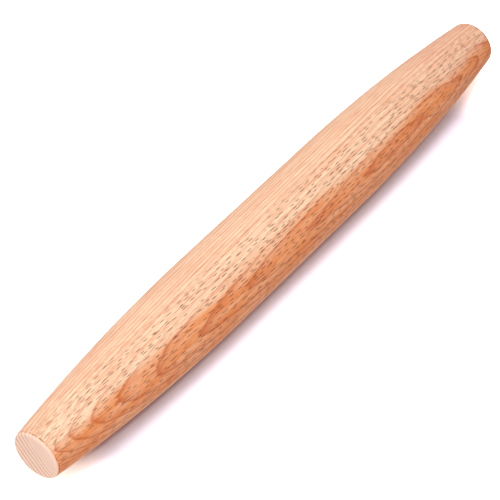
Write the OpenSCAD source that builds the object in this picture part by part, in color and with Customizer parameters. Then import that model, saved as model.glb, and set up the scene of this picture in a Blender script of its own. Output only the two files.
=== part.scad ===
// French rolling pin: one solid length of turned beech, with a straight middle, a long
// curved taper to each end, and flat end faces with eased rims.
// Millimetres. +X runs along the pin and +Z is up. The origin is the middle of the pin,
// on its axis.

/* [Pin] */
// overall length, from one end face to the other
pin_l = 400; // [340:5:500]
// diameter of the straight middle
barrel_d = 46; // [38:0.5:54]
// length of the straight middle, between the two tapers
barrel_l = 110; // [60:5:200]

/* [Ends] */
// diameter that each taper reaches in the plane of its end face
end_d = 28; // [20:0.5:34]
// radius that eases the rim of each end face
rim_r = 2; // [1:0.25:4]

/* [Hidden] */
half_l = pin_l / 2;
barrel_r = barrel_d / 2;
straight = barrel_l / 2;
// each taper is one arc that leaves the straight middle with no kink
taper_run = half_l - straight;
taper_drop = barrel_r - end_d / 2;
taper_r = round(50 * (taper_run * taper_run / taper_drop + taper_drop)) / 100;
taper_x = barrel_r - taper_r;
// the rim arc touches the end face, and crosses the taper where the two are all but in line
rim_proud = 0.002;
rim_y = half_l - rim_r;
rim_x = taper_x + sqrt(pow(taper_r - rim_r, 2) - pow(rim_y - straight, 2)) + rim_proud;
meet_y = rim_y + rim_r * (rim_y - straight) / (taper_r - rim_r);

$fn = 180;

// what the eased rim takes off the corner between the taper and the end face
module rim_waste() {
    difference() {
        translate([rim_x, meet_y]) square(2 * rim_r);
        translate([rim_x, rim_y]) circle(r = rim_r, $fn = 96);
    }
}

// half of the turned outline: across is the radius, up is the distance from the middle
module half_outline() {
    square([barrel_r, straight]);
    difference() {
        intersection() {
            translate([taper_x, straight]) circle(r = taper_r, $fn = 3600);
            translate([0, straight]) square([barrel_r, taper_run]);
        }
        rim_waste();
    }
}

module rolling_pin() {
    color([0.93, 0.74, 0.58])
    rotate([0, 90, 0])
    rotate_extrude() {
        half_outline();
        mirror([0, 1]) half_outline();
    }
}

rolling_pin();
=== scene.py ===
import math

import bpy
from mathutils import Matrix, Vector

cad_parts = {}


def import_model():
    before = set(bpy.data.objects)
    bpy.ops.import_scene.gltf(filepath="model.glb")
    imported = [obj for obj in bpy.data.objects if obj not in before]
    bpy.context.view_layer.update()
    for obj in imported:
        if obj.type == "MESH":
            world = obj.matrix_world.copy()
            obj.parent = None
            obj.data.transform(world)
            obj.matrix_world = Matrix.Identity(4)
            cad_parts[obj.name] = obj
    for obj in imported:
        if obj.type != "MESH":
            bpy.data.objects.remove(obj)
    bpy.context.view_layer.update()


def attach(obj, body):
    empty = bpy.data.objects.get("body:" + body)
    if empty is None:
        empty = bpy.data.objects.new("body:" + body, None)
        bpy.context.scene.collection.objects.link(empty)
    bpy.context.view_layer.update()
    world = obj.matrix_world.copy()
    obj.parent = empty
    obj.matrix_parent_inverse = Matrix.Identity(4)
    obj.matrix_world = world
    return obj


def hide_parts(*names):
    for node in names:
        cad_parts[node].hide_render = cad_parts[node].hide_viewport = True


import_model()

MM = 1000.0             # millimetres in a metre

# ---------------------------------------------------------------- sizes (metres)
PIN_L = 0.400
BARREL_R = 0.023
BARREL_L = 0.110
END_R = 0.014
RIM_R = 0.002
INSIDE = 0.998          # keeps the round skin inside the flat-sided frame
AROUND = 288            # columns round the pin
BARREL_ROWS = 60        # rows along the straight middle
TAPER_ROWS = 110        # rows along each taper
RIM_ROWS = 10           # rows round each eased rim
FACE_RINGS = 16         # rings in each end face

# where the skin lies in the OFBake map: the side as a band, the end faces as discs
SIDE_U = (0.004, 0.996)
SIDE_V = (0.006, 0.800)
DISC_U = (0.12, 0.37)
DISC_V = 0.905
DISC_R = 0.088

# ---------------------------------------------------------- camera (fitted to the silhouette)
CAM_POS = Vector((-0.70837, -0.50154, 0.81559))
CAM_RIGHT = Vector((0.59043, -0.80709, 0.0))
CAM_UP = Vector((0.55813, 0.40830, 0.72234))
CAM_SENSOR = 36.0       # mm
CAM_LENS = 158.93       # mm
CAM_REACH = 20.0        # m


# ---------------------------------------------------------------- mesh
def outline():
    """(x, radius) from the -X face's edge to the +X face's edge."""
    half = PIN_L / 2
    straight = BARREL_L / 2
    run = half - straight
    drop = BARREL_R - END_R
    arc_r = (run * run + drop * drop) / (2 * drop)
    arc_y = BARREL_R - arc_r
    rim_x = half - RIM_R
    rim_y = arc_y + math.sqrt((arc_r - RIM_R) ** 2 - (rim_x - straight) ** 2)
    touch = math.asin((rim_x - straight) / (arc_r - RIM_R))
    side = []
    for i in range(BARREL_ROWS // 2):
        side.append((straight * i / (BARREL_ROWS // 2), BARREL_R))
    for i in range(TAPER_ROWS + 1):
        a = touch * i / TAPER_ROWS
        side.append((straight + arc_r * math.sin(a), arc_y + arc_r * math.cos(a)))
    for i in range(1, RIM_ROWS + 1):
        a = touch + (math.pi / 2 - touch) * i / RIM_ROWS
        side.append((rim_x + RIM_R * math.sin(a), rim_y + RIM_R * math.cos(a)))
    left = [(-x, r) for x, r in reversed(side[1:])]
    return left + side


class Skin:
    """The vertices, faces and map of a turned mesh."""

    def __init__(self):
        self.verts, self.faces, self.uvs = [], [], []

    def ring(self, x, radius):
        """Adds a ring of vertices round the axis, and returns their numbers."""
        first = len(self.verts)
        for j in range(AROUND):
            a = 2 * math.pi * j / AROUND
            self.verts.append((x, radius * math.cos(a), radius * math.sin(a)))
        return range(first, first + AROUND)

    def face(self, corners, uv, flip=False):
        step = -1 if flip else 1
        self.faces.append(corners[::step])
        self.uvs.append(uv[::step])


def between(ends, part):
    return ends[0] + (ends[1] - ends[0]) * part


def add_side(skin, rows):
    """The round side. Returns its first and last rings."""
    lengths = [0.0]
    for (x0, r0), (x1, r1) in zip(rows, rows[1:]):
        lengths.append(lengths[-1] + math.hypot(x1 - x0, r1 - r0))
    u = [between(SIDE_U, length / lengths[-1]) for length in lengths]
    v = [between(SIDE_V, j / AROUND) for j in range(AROUND + 1)]
    rings = [skin.ring(x, r * INSIDE) for x, r in rows]
    for i in range(len(rows) - 1):
        near, far = rings[i], rings[i + 1]
        for j in range(AROUND):
            k = (j + 1) % AROUND
            skin.face((near[j], near[k], far[k], far[j]),
                      ((u[i], v[j]), (u[i], v[j + 1]), (u[i + 1], v[j + 1]), (u[i + 1], v[j])))
    return rings[0], rings[-1]


def add_end(skin, end, row, outer):
    """A flat end face, in rings from the rim to its centre. end is 0 at -X and 1 at +X."""
    x, radius = row

    def mapped(part, j):
        a = 2 * math.pi * j / AROUND
        reach = DISC_R * part
        return (DISC_U[end] + reach * math.cos(a), DISC_V + reach * math.sin(a))

    flip = end == 1
    for m in range(1, FACE_RINGS):
        s0, s1 = 1 - (m - 1) / FACE_RINGS, 1 - m / FACE_RINGS
        inner = skin.ring(x, radius * INSIDE * s1)
        for j in range(AROUND):
            k = (j + 1) % AROUND
            skin.face((outer[j], inner[j], inner[k], outer[k]),
                      (mapped(s0, j), mapped(s1, j), mapped(s1, j + 1), mapped(s0, j + 1)), flip)
        outer = inner
    hub = len(skin.verts)
    skin.verts.append((x, 0.0, 0.0))
    last = 1 / FACE_RINGS
    for j in range(AROUND):
        skin.face((outer[j], hub, outer[(j + 1) % AROUND]),
                  (mapped(last, j), mapped(0, j), mapped(last, j + 1)), flip)


def pin_mesh():
    rows = outline()
    skin = Skin()
    first, last = add_side(skin, rows)
    add_end(skin, 0, rows[0], first)
    add_end(skin, 1, rows[-1], last)
    mesh = bpy.data.meshes.new("rolling_pin_wood")
    mesh.from_pydata(skin.verts, [], skin.faces)
    layer = mesh.uv_layers.new(name="OFBake")
    for poly, uv in zip(mesh.polygons, skin.uvs):
        for loop, co in zip(poly.loop_indices, uv):
            layer.data[loop].uv = co
        poly.use_smooth = True
    mesh.update()
    return mesh


# ---------------------------------------------------------------- material helpers
class Nodes:
    """Short names for the shader nodes of one material. Numbers and sockets mix freely."""

    def __init__(self, material):
        material.use_nodes = True
        self.tree = material.node_tree
        self.tree.nodes.clear()

    def new(self, kind, **props):
        n = self.tree.nodes.new(kind)
        for k, v in props.items():
            setattr(n, k, v)
        return n

    def link(self, a, b):
        self.tree.links.new(a, b)

    def put(self, socket, value):
        if isinstance(value, bpy.types.NodeSocket):
            self.link(value, socket)
        else:
            socket.default_value = value

    def math(self, op, *values):
        n = self.new("ShaderNodeMath", operation=op)
        for socket, v in zip(n.inputs, values):
            self.put(socket, v)
        return n.outputs[0]

    def add(self, a, b):
        return self.math("ADD", a, b)

    def sub(self, a, b):
        return self.math("SUBTRACT", a, b)

    def mul(self, a, b):
        return self.math("MULTIPLY", a, b)

    def div(self, a, b):
        return self.math("DIVIDE", a, b)

    def most(self, a, b):
        return self.math("MAXIMUM", a, b)

    def size(self, a):
        return self.math("ABSOLUTE", a)

    def length2(self, a, b):
        return self.math("SQRT", self.add(self.mul(a, a), self.mul(b, b)))

    def xyz(self, x, y, z):
        n = self.new("ShaderNodeCombineXYZ")
        for socket, v in zip(n.inputs, (x, y, z)):
            self.put(socket, v)
        return n.outputs[0]

    def split(self, vector):
        n = self.new("ShaderNodeSeparateXYZ")
        self.link(vector, n.inputs[0])
        return n.outputs

    def noise(self, vector, scale, detail=2.0, rough=0.5):
        n = self.new("ShaderNodeTexNoise")
        self.link(vector, n.inputs["Vector"])
        n.inputs["Scale"].default_value = scale
        n.inputs["Detail"].default_value = detail
        n.inputs["Roughness"].default_value = rough
        return n.outputs[0]

    def ramp(self, fac, stops):
        """A grey ramp through (position, value) stops."""
        n = self.new("ShaderNodeValToRGB")
        el = n.color_ramp.elements
        while len(el) < len(stops):
            el.new(0.5)
        for e, (pos, v) in zip(el, stops):
            e.position = pos
            e.color = (v, v, v, 1.0)
        self.put(n.inputs[0], fac)
        return n.outputs[0]

    def span(self, value, a, b, c=0.0, d=1.0, smooth=True):
        """Runs from c to d while value runs from a to b, and stays there outside."""
        kind = "SMOOTHSTEP" if smooth else "LINEAR"
        n = self.new("ShaderNodeMapRange", interpolation_type=kind)
        self.put(n.inputs["Value"], value)
        for name, v in (("From Min", a), ("From Max", b), ("To Min", c), ("To Max", d)):
            n.inputs[name].default_value = v
        return n.outputs[0]

    def mix(self, fac, a, b):
        """From colour a to colour b."""
        n = self.new("ShaderNodeMix", data_type="RGBA")
        self.put(n.inputs[0], fac)
        for i, v in ((6, a), (7, b)):
            if isinstance(v, tuple):
                n.inputs[i].default_value = (*v, 1.0)
            else:
                self.link(v, n.inputs[i])
        return n.outputs[2]

    def finish(self, shader):
        self.link(shader.outputs[0], self.new("ShaderNodeOutputMaterial").inputs["Surface"])


def srgb(r, g, b):
    def lin(v):
        v /= 255
        return v / 12.92 if v <= 0.04045 else ((v + 0.055) / 1.055) ** 2.4
    return (lin(r), lin(g), lin(b))


# ---------------------------------------------------------------- beech
# The wood is a solid texture in millimetres. Growth rings stand round a pith line that runs
# outside the pin, on its -Y side, and comes slowly nearer along +X.
PITH_DEG = 26.0            # direction of the pith from the axis, above level on the -Y side
PITH_MM = 66.0             # from the pin's axis to the pith, at the middle
PITH_LEAN = 0.030          # how fast the pith comes nearer along +X
BEND_FROM = 90.0           # past this far towards -X the grain sweeps upwards
BEND = 0.0017              # mm of sweep per mm squared
# (from, to, years of growth between them), in mm from the pith
GROWTH = ((28.0, 46.0, 11.5), (46.0, 59.0, 4.6), (59.0, 70.0, 5.6), (70.0, 100.0, 11.0))
YEAR_SHIFT = 0.35
# darkness of the wood through one year, from its start at 0 to its end at 1
LATE = ((0.0, 0.90), (0.06, 0.05), (0.12, 0.0), (0.52, 0.0), (0.82, 0.28), (0.96, 0.95))

# noise drawn out along the pin: cycles per mm along it and across it, detail, roughness
SLOW_WAVE = (0.012, 0.06, 2.0, 0.5)
QUICK_WAVE = (0.07, 0.35, 2.0, 0.5)
PATCH = (0.014, 0.09, 2.0, 0.5)
MOTTLE = (0.03, 0.30, 2.0, 0.5)
STREAK = (0.012, 0.45, 2.0, 0.5)
FIBRE = (0.05, 1.4, 3.0, 0.6)
PORE = (0.22, 3.6, 2.0, 0.6)
SLOW_SWAY = 2.2            # mm that each wave moves the rings
QUICK_SWAY = 0.7

# how squarely the skin faces the pith, where it turns from quarter-sawn to flat-sawn
FACES_PITH = (0.02, 0.50)
FACES_BARK = (-0.62, -0.90)
TINY = 0.001               # keeps a division off zero

HEART_AND_SHADE_DEG = 8.0            # middle of the darker, orange side, above level on the -Y side: heartwood colour in part and painted shade of that flank in part
HEART_AND_SHADE_EDGE = (0.70, 0.94)  # cosines of the angle from it, where its colour starts and is full
HEART_AND_SHADE_PATCH = 0.35         # how far patches move its edge
HEART_AND_SHADE_RING = 0.03          # how far the rings move it
MOTTLE_SHARE = (0.62, 1.0)

# rays: spacing and half-size in mm, along and across the grain, and share of the places with one
BOLD_RAYS = {"cell": (6.8, 1.75), "share": 0.68, "dash": (3.2, 0.21), "seed": 0.0}
FAINT_RAYS = {"cell": (5.8, 1.30), "share": 0.45, "dash": (2.6, 0.16), "seed": 31.7}
RAY_SCATTER = 0.9          # how far the rays stray from an even grid
RAY_SHORTEST = 0.45        # as a share of the longest
RAY_FADE = 0.65            # part of the half-size where a ray starts to fade
GRAIN_SLOPE = 0.04         # the rays climb this much round the pin per mm along it

CREAM = srgb(252, 217, 182)
PEACH = srgb(246, 198, 162)
PINK = srgb(240, 184, 158)
# ORANGE is heartwood colour and, in part, painted shade on the -Y flank
ORANGE = srgb(238, 145, 82)
LINE = srgb(194, 86, 36)
FLECK = srgb(104, 34, 6)
RUST = srgb(160, 76, 34)
END_PALE = srgb(253, 217, 196)
END_DARK = srgb(200, 138, 106)

# the side's colour: where each mark starts and is full, and its strength
STREAK_SPAN = (0.38, 0.66)
FIBRE_SPAN = (0.46, 0.70)
PORE_SPAN = (0.48, 0.72)
MOTTLE_SPAN = (0.30, 0.70)
PINK_SPAN = (80.0, 190.0)  # mm along +X
PINK_FAR = 0.45
PINK_QUARTER = 0.12
RING_QUARTER = 0.58        # strength of the ring lines on quarter-sawn skin,
RING_FLAT = 0.20           # less this much on flat-sawn skin,
RING_HEART_AND_SHADE = 0.30          # and more by this on the orange side, which is heartwood colour in part and painted shade in part
FIBRE_MARK = 0.34
PORE_MARK = 0.34
FAINT_MARK = 0.42
BOLD_MARK = 0.96

# the end grain and the rim, in mm
FACE_FROM = (198.7, 199.3)       # from the middle of the pin, where the side turns into end grain
END_RINGS = (60.0, 78.0)         # from the pith, where the rings grow from faint to full
END_RING_DEPTH = (0.12, 1.0)
SPECK_SCALE = 2.2
SPECK_ROUGH = 0.6
SPECK_SPAN = (0.5, 0.8)
SPECK_MARK = 0.25
RIM_AT = 198.5
RIM_WIDTH = (0.55, 0.1)          # from the line's middle, where it ends and where it is full
RIM_BREAKS = 0.5                 # scale of the breaks in it
RIM_BREAK_SPAN = (0.38, 0.62)
RIM_MARK = 0.75

# finish
ROUGH = 0.50
ROUGH_FIBRE = 0.12
ROUGH_FACE = 0.15
PORE_DEPTH = 0.25
RAY_DEPTH = 0.6
RING_DEPTH = 0.15
BUMP_STRENGTH = 0.25
BUMP_DISTANCE = 0.0001
SPECULAR = 0.3


def direction(degrees):
    """(y, z) of a direction from the axis, above level on the -Y side."""
    return -math.cos(math.radians(degrees)), math.sin(math.radians(degrees))


def wood_place(g):
    """Object coordinates in mm, as a vector and as x, y and z."""
    scaled = g.new("ShaderNodeVectorMath", operation="SCALE")
    g.link(g.new("ShaderNodeTexCoord").outputs["Object"], scaled.inputs[0])
    scaled.inputs["Scale"].default_value = MM
    return scaled.outputs[0], g.split(scaled.outputs[0])


def stretched(g, place, kind):
    """One of the noises drawn out along the pin."""
    along, across, detail, rough = kind
    x, y, z = place
    return g.noise(g.xyz(g.mul(x, along), g.mul(y, across), g.mul(z, across)), 1.0, detail, rough)


def sway(g, place, kind, amount):
    """A stretched noise that swings about zero."""
    return g.mul(g.sub(stretched(g, place, kind), 0.5), amount)


def rings(g, place):
    """Vector from the pith in the cross-section, distance from it, and part of the year."""
    x, y, z = place
    out_y, out_z = direction(PITH_DEG)
    pith = g.sub(PITH_MM, g.mul(x, PITH_LEAN))
    past = g.most(g.sub(g.mul(x, -1.0), BEND_FROM), 0.0)
    sweep = g.mul(g.mul(past, past), BEND)
    dy = g.sub(y, g.add(g.mul(pith, out_y), g.mul(sweep, out_z)))
    dz = g.sub(z, g.sub(g.mul(pith, out_z), g.mul(sweep, out_y)))
    waves = g.add(sway(g, place, SLOW_WAVE, SLOW_SWAY), sway(g, place, QUICK_WAVE, QUICK_SWAY))
    rho = g.add(g.length2(dy, dz), waves)
    year = YEAR_SHIFT
    for start, end, years in GROWTH:
        year = g.add(year, g.span(rho, start, end, 0.0, years, smooth=False))
    return dy, dz, rho, g.math("FRACT", year)


def flat_sawn(g, place, dy, dz, rho):
    """1 where the rings lie flat in the skin, 0 where they meet it edge on."""
    x, y, z = place
    dot = g.add(g.mul(y, dy), g.mul(z, dz))
    facing = g.div(g.mul(dot, -1.0), g.most(g.mul(g.length2(y, z), rho), TINY))
    return g.most(g.span(facing, *FACES_PITH), g.span(facing, *FACES_BARK))


def heart_and_shade_side(g, place, late):
    """1 on the darker, orange side, with a soft, patchy edge: heartwood colour in part, painted
    shade of the -Y flank in part.
    """
    x, y, z = place
    out_y, out_z = direction(HEART_AND_SHADE_DEG)
    toward = g.div(g.add(g.mul(y, out_y), g.mul(z, out_z)), g.most(g.length2(y, z), TINY))
    shift = g.add(sway(g, place, PATCH, HEART_AND_SHADE_PATCH), g.mul(late, HEART_AND_SHADE_RING))
    return g.span(g.add(toward, shift), *HEART_AND_SHADE_EDGE)


def rays(g, x, across, cell, share, dash, seed):
    """Thin dark dashes at scattered places. across is mm of skin across the grain."""
    at = g.xyz(g.div(x, cell[0]), g.add(g.div(across, cell[1]), seed), 0.0)
    v = g.new("ShaderNodeTexVoronoi", voronoi_dimensions="2D", feature="F1")
    g.link(at, v.inputs["Vector"])
    v.inputs["Scale"].default_value = 1.0
    v.inputs["Randomness"].default_value = RAY_SCATTER
    off = g.new("ShaderNodeVectorMath", operation="SUBTRACT")
    g.link(at, off.inputs[0])
    g.link(v.outputs["Position"], off.inputs[1])
    part = g.split(off.outputs[0])
    pick = g.new("ShaderNodeSeparateColor")
    g.link(v.outputs["Color"], pick.inputs[0])
    length = g.add(RAY_SHORTEST, g.mul(pick.outputs[1], 1.0 - RAY_SHORTEST))
    dx = g.div(g.mul(part[0], cell[0] / dash[0]), length)
    dt = g.mul(part[1], cell[1] / dash[1])
    kept = g.math("LESS_THAN", pick.outputs[0], share)
    return g.mul(g.span(g.length2(dx, dt), 1.0, RAY_FADE), kept)


def flecks(g, place, flat):
    """The bold and the faint rays, on flat-sawn skin only."""
    x, y, z = place
    out_y, out_z = direction(PITH_DEG)
    toward = g.add(g.mul(z, out_z), g.mul(y, out_y))
    beside = g.sub(g.mul(y, out_z), g.mul(z, out_y))
    across = g.mul(g.math("ARCTAN2", beside, toward), BARREL_R * MM)
    across = g.add(across, g.mul(x, GRAIN_SLOPE))
    return [g.mul(rays(g, x, across, **kind), flat) for kind in (BOLD_RAYS, FAINT_RAYS)]


def side_colour(g, place, late, flat, fibre, pore, bold, faint):
    x = place[0]
    heart_and_shade = heart_and_shade_side(g, place, late)
    side = g.mix(g.span(stretched(g, place, STREAK), *STREAK_SPAN), CREAM, PEACH)
    side = g.mix(g.mul(g.span(x, *PINK_SPAN), PINK_FAR), side, PINK)
    side = g.mix(g.mul(g.sub(1.0, flat), PINK_QUARTER), side, PINK)
    mottle = g.span(stretched(g, place, MOTTLE), *MOTTLE_SPAN, *MOTTLE_SHARE)
    # orange on the -Y flank: heartwood colour in part, painted shade in part
    side = g.mix(g.mul(heart_and_shade, mottle), side, ORANGE)
    depth = g.add(g.sub(RING_QUARTER, g.mul(flat, RING_FLAT)), g.mul(heart_and_shade, RING_HEART_AND_SHADE))
    side = g.mix(g.mul(late, depth), side, LINE)
    side = g.mix(g.mul(g.span(fibre, *FIBRE_SPAN), FIBRE_MARK), side, LINE)
    side = g.mix(g.mul(g.span(pore, *PORE_SPAN), PORE_MARK), side, LINE)
    side = g.mix(g.mul(faint, FAINT_MARK), side, RUST)
    return g.mix(g.mul(bold, BOLD_MARK), side, FLECK)


def end_colour(g, mm, late, rho):
    end = g.mix(g.mul(late, g.span(rho, *END_RINGS, *END_RING_DEPTH)), END_PALE, END_DARK)
    speck = g.noise(mm, SPECK_SCALE, rough=SPECK_ROUGH)
    return g.mix(g.mul(g.span(speck, *SPECK_SPAN), SPECK_MARK), end, END_DARK)


def rim_line(g, mm, x):
    """A broken dark line round each rim."""
    far = g.size(g.sub(g.size(x), RIM_AT))
    breaks = g.span(g.noise(mm, RIM_BREAKS), *RIM_BREAK_SPAN)
    return g.mul(g.mul(g.span(far, *RIM_WIDTH), breaks), RIM_MARK)


def relief(g, late, pore, bold):
    """Shallow pores, rays and ring lines."""
    height = g.sub(g.mul(pore, -PORE_DEPTH), g.mul(bold, RAY_DEPTH))
    bump = g.new("ShaderNodeBump")
    bump.inputs["Strength"].default_value = BUMP_STRENGTH
    bump.inputs["Distance"].default_value = BUMP_DISTANCE
    g.link(g.sub(height, g.mul(late, RING_DEPTH)), bump.inputs["Height"])
    return bump.outputs[0]


def beech():
    mat = bpy.data.materials.new("beech")
    g = Nodes(mat)
    mm, place = wood_place(g)
    x = place[0]
    dy, dz, rho, part = rings(g, place)
    late = g.ramp(part, LATE)
    flat = flat_sawn(g, place, dy, dz, rho)
    fibre = stretched(g, place, FIBRE)
    pore = stretched(g, place, PORE)
    bold, faint = flecks(g, place, flat)
    face = g.span(g.size(x), *FACE_FROM)

    side = side_colour(g, place, late, flat, fibre, pore, bold, faint)
    colour = g.mix(face, side, end_colour(g, mm, late, rho))
    colour = g.mix(rim_line(g, mm, x), colour, RUST)
    rough = g.add(g.add(ROUGH, g.mul(fibre, ROUGH_FIBRE)), g.mul(face, ROUGH_FACE))

    shader = g.new("ShaderNodeBsdfPrincipled")
    g.link(colour, shader.inputs["Base Color"])
    g.link(rough, shader.inputs["Roughness"])
    g.link(relief(g, late, pore, bold), shader.inputs["Normal"])
    shader.inputs["Specular IOR Level"].default_value = SPECULAR
    g.finish(shader)
    return mat


# ---------------------------------------------------------------- stage
FLOOR_HALF = 3.0           # m
FLOOR_PALE = (0.86, 0.86, 0.86)
# the floor for the camera, with painted shade: a painted shadow strip close under the pin, a low
# bluish gain beside it as painted shade, and a high gain away from it that turns it white
UNDER_PAINTED_SHADOW = (0.56, 0.35, 0.39)
NEAR_PAINTED_SHADE = (1.02, 1.00, 1.16)
AWAY = (2.60, 2.60, 2.60)
UNDER_MM = 12.0            # half-width of the painted shadow strip under the middle of the pin
UNDER_EDGE = 4.0           # mm over which the painted shadow strip ends
UNDER_TAPER = 0.0005       # mm that it narrows per mm squared along the taper
AWAY_SPAN = (15.0, 60.0)   # mm from the pin's axis, where the floor turns white
AWAY_ENDS = (158.0, 196.0)  # mm along the pin, where it does so at the ends

# name, place (m), size (m), power (W)
LAMPS = (("key", (-0.15, -0.15, 1.38), 0.7, 14.8),
         ("end_fill", (-1.6, -0.5, 0.7), 0.8, 8.0),
         ("back_fill", (-0.2, 1.4, 0.7), 0.9, 4.5))
WORLD_TINT = (1.0, 0.97, 0.98, 1.0)
WORLD_LEVEL = 0.30         # for the light on the pin
BACKDROP_LEVEL = 1.05      # for the camera


def white():
    """Pale for every ray. For the camera it is white away from the pin, with painted shade beside
    it and a painted shadow close under it.
    """
    mat = bpy.data.materials.new("floor_white_painted_shadow")
    g = Nodes(mat)
    place = g.split(g.new("ShaderNodeTexCoord").outputs["Object"])
    x = g.mul(g.size(place[0]), MM)
    y = g.mul(g.size(place[1]), MM)
    taper = g.most(g.sub(x, BARREL_L / 2 * MM), 0.0)
    inset = g.mul(g.mul(taper, taper), UNDER_TAPER)
    beside = g.sub(g.add(y, inset), UNDER_MM)
    # painted shadow under the pin, then painted shade beside it, then white away from it
    seen = g.mix(g.span(beside, 0.0, UNDER_EDGE), UNDER_PAINTED_SHADOW, NEAR_PAINTED_SHADE)
    past = g.length2(g.most(g.sub(x, PIN_L / 2 * MM), 0.0), y)
    seen = g.mix(g.most(g.span(past, *AWAY_SPAN), g.span(x, *AWAY_ENDS)), seen, AWAY)
    path = g.new("ShaderNodeLightPath")
    diffuse = g.new("ShaderNodeBsdfDiffuse")
    g.link(g.mix(path.outputs["Is Camera Ray"], FLOOR_PALE, seen), diffuse.inputs["Color"])
    g.finish(diffuse)
    return mat


def floor():
    corners = ((-1, -1), (1, -1), (1, 1), (-1, 1))
    mesh = bpy.data.meshes.new("floor")
    mesh.from_pydata([(FLOOR_HALF * x, FLOOR_HALF * y, -BARREL_R) for x, y in corners],
                     [], [(0, 1, 2, 3)])
    obj = bpy.data.objects.new("floor", mesh)
    bpy.context.scene.collection.objects.link(obj)
    mesh.materials.append(white())


def lamp(name, place, size, power):
    """A square area lamp that looks at the middle of the pin."""
    light = bpy.data.lights.new(name, "AREA")
    light.shape = "SQUARE"
    light.size = size
    light.energy = power
    obj = bpy.data.objects.new(name, light)
    obj.location = place
    bpy.context.scene.collection.objects.link(obj)
    obj.rotation_euler = (-obj.location).to_track_quat("-Z", "Y").to_euler()


def world():
    """Soft light from all round. The camera alone sees it as a white backdrop."""
    studio = bpy.data.worlds.new("studio")
    bpy.context.scene.world = studio
    studio.use_nodes = True
    tree = studio.node_tree
    back = tree.nodes["Background"]
    back.inputs["Color"].default_value = WORLD_TINT
    path = tree.nodes.new("ShaderNodeLightPath")
    level = tree.nodes.new("ShaderNodeMath")
    level.operation = "MULTIPLY_ADD"
    level.inputs[1].default_value = BACKDROP_LEVEL - WORLD_LEVEL
    level.inputs[2].default_value = WORLD_LEVEL
    tree.links.new(path.outputs["Is Camera Ray"], level.inputs[0])
    tree.links.new(level.outputs[0], back.inputs["Strength"])


def camera():
    data = bpy.data.cameras.new("camera")
    data.sensor_width = CAM_SENSOR
    data.lens = CAM_LENS
    data.clip_end = CAM_REACH
    obj = bpy.data.objects.new("camera", data)
    right = CAM_RIGHT.normalized()
    up = CAM_UP.normalized()
    turn = Matrix((right, up, right.cross(up))).transposed()
    obj.matrix_world = Matrix.Translation(CAM_POS) @ turn.to_4x4()
    bpy.context.scene.collection.objects.link(obj)
    bpy.context.scene.camera = obj


def pin():
    obj = bpy.data.objects.new("rolling_pin_wood", pin_mesh())
    bpy.context.scene.collection.objects.link(obj)
    obj.data.materials.append(beech())
    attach(obj, "root")
    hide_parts("rolling_pin")


pin()
floor()
for settings in LAMPS:
    lamp(*settings)
world()
camera()
bpy.context.scene.view_settings.view_transform = "Standard"
